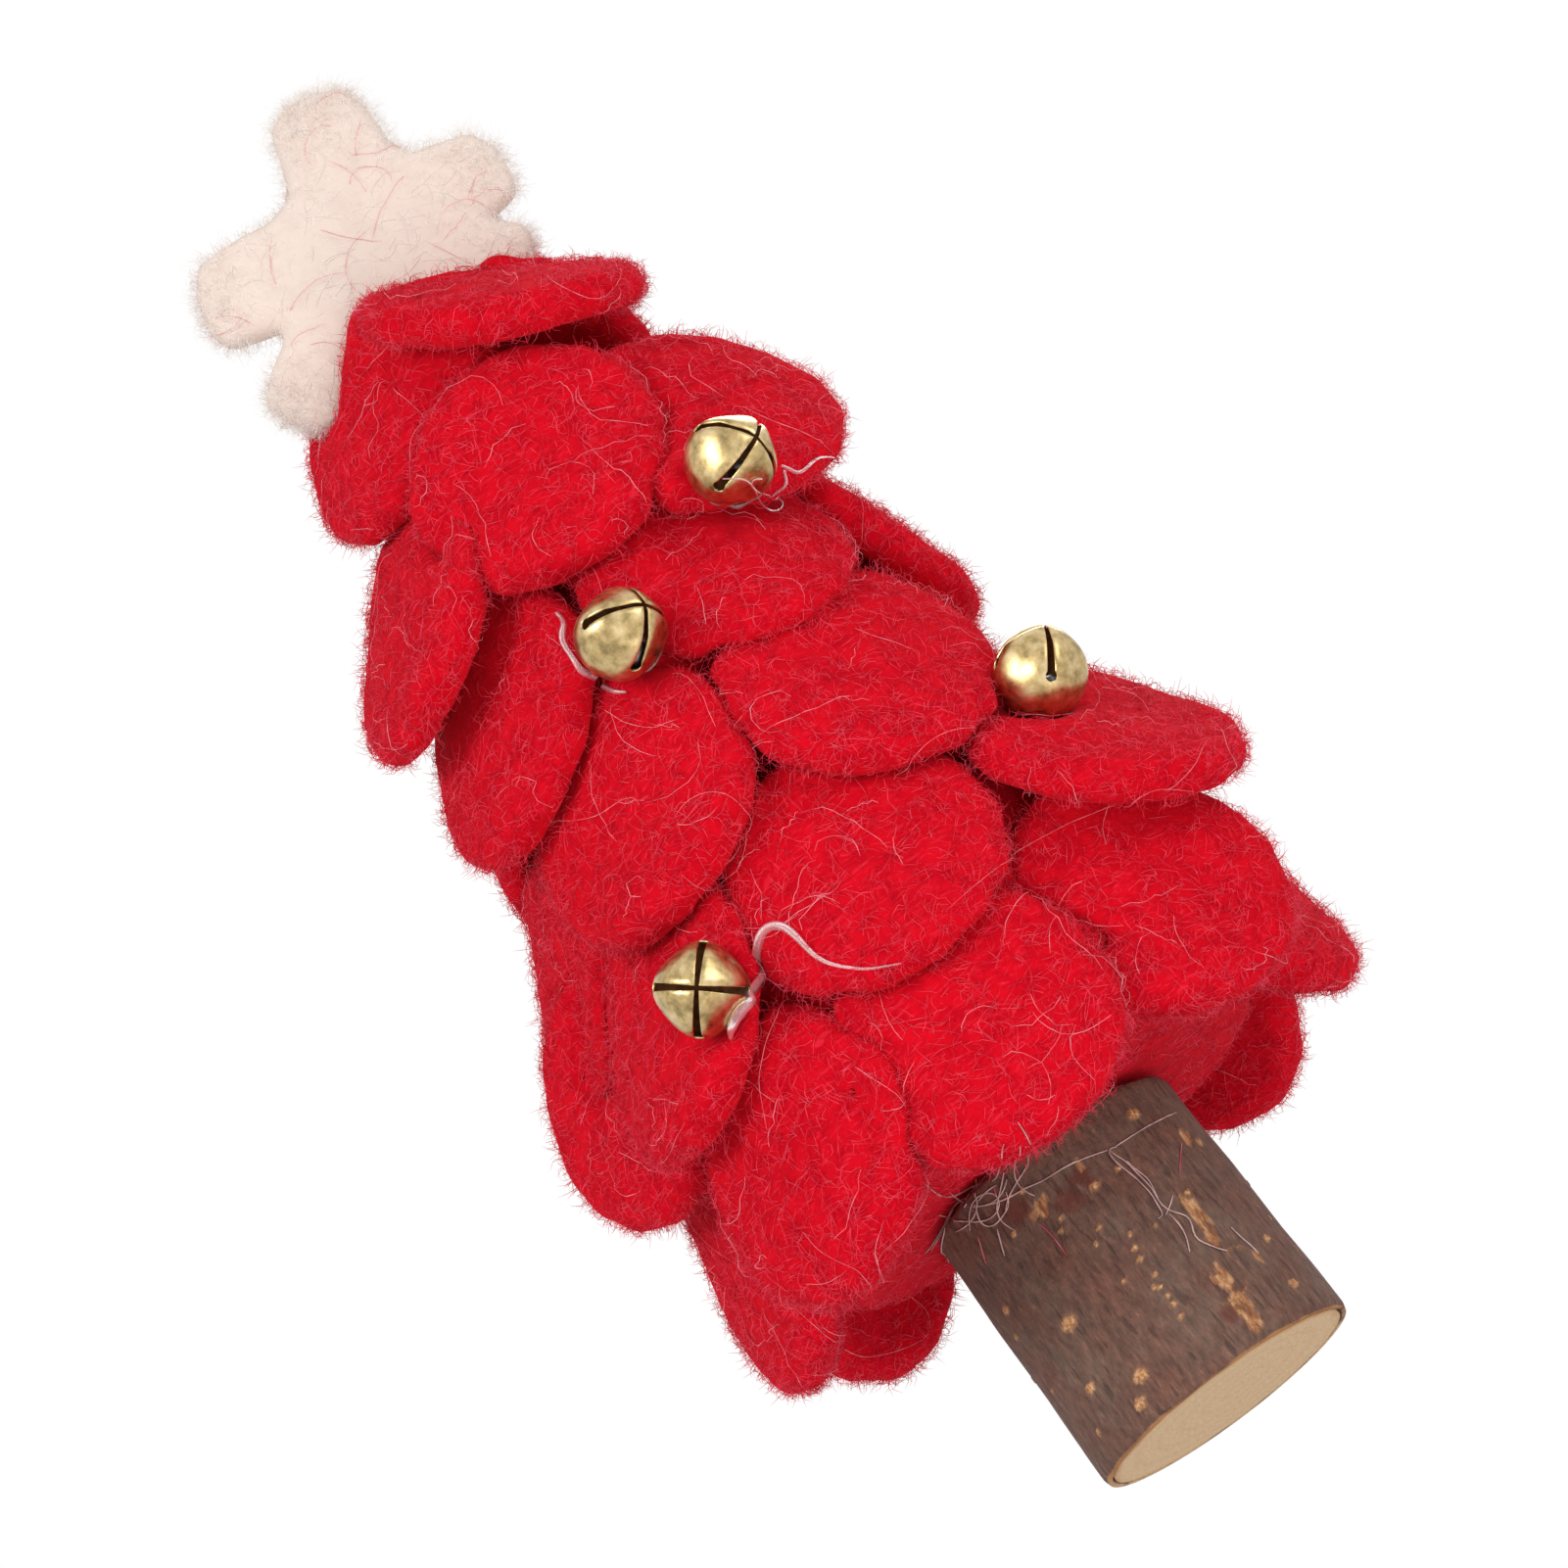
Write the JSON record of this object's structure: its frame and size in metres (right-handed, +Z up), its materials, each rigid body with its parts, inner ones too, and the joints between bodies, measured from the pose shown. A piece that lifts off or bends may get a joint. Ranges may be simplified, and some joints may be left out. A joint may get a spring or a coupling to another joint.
{
  "type": "felt christmas ornament",
  "caption": "Felt Christmas tree to stand on a shelf: overlapping round red felt petals on a cone, a cream felt star, small brass jingle bells and a trunk cut from a branch.",
  "frame": {"origin": "centre of the sawn foot face of the trunk, which the ornament stands on", "axes": "+Z up along the trunk towards the star, -Y out of the front that the picture shows, +X to the right of that front"},
  "size_m": [0.0836, 0.0765, 0.1789],
  "materials": {
    "red_felt": "matte",
    "cream_felt": "matte",
    "bark": "matte",
    "branch_wood": "matte",
    "hot_glue": "satin",
    "brass": "polished",
    "steel": "satin"
  },
  "bodies": {
    "tree": {"trunk_wood": "branch_wood", "trunk_bark": "bark", "trunk_glue": "hot_glue", "base_felt": "red_felt", "core_cone": "red_felt", "star": "cream_felt", "star_glue": "hot_glue", "bell_a_shell": "brass", "bell_a_eye": "brass", "bell_a_glue": "hot_glue", "bell_b_shell": "brass", "bell_b_eye": "brass", "bell_b_glue": "hot_glue", "bell_c_shell": "brass", "bell_c_eye": "brass", "bell_c_glue": "hot_glue", "bell_d_shell": "brass", "bell_d_eye": "brass", "bell_d_glue": "hot_glue", "petal_1_1": "red_felt", "petal_1_2": "red_felt", "petal_1_3": "red_felt", "petal_1_4": "red_felt", "petal_1_5": "red_felt", "petal_1_6": "red_felt", "petal_1_7": "red_felt", "petal_1_8": "red_felt", "petal_1_9": "red_felt", "petal_1_10": "red_felt", "petal_2_1": "red_felt", "petal_2_2": "red_felt", "petal_2_3": "red_felt", "petal_2_4": "red_felt", "petal_2_5": "red_felt", "petal_2_6": "red_felt", "petal_2_7": "red_felt", "petal_3_1": "red_felt", "petal_3_2": "red_felt", "petal_3_3": "red_felt", "petal_3_4": "red_felt", "petal_3_5": "red_felt", "petal_3_6": "red_felt", "petal_4_1": "red_felt", "petal_4_2": "red_felt", "petal_4_3": "red_felt", "petal_4_4": "red_felt", "petal_4_5": "red_felt", "petal_5_1": "red_felt", "petal_5_2": "red_felt", "petal_5_3": "red_felt", "petal_5_4": "red_felt", "petal_5_5": "red_felt", "petal_6_1": "red_felt", "petal_6_2": "red_felt", "petal_6_3": "red_felt", "petal_6_4": "red_felt"},
    "pellet_a": {"bell_a_pellet": "steel"},
    "pellet_b": {"bell_b_pellet": "steel"},
    "pellet_c": {"bell_c_pellet": "steel"},
    "pellet_d": {"bell_d_pellet": "steel"}
  },
  "joints": [
    {"name": "pellet_a_rattle", "type": "slide", "parent": "tree", "child": "pellet_a", "axis": [0, 0, 1], "range_m": [0, 0.0049]},
    {"name": "pellet_b_rattle", "type": "slide", "parent": "tree", "child": "pellet_b", "axis": [0, 0, 1], "range_m": [0, 0.0049]},
    {"name": "pellet_c_rattle", "type": "slide", "parent": "tree", "child": "pellet_c", "axis": [0, 0, 1], "range_m": [0, 0.0049]},
    {"name": "pellet_d_rattle", "type": "slide", "parent": "tree", "child": "pellet_d", "axis": [0, 0, 1], "range_m": [0, 0.0049]}
  ]
}
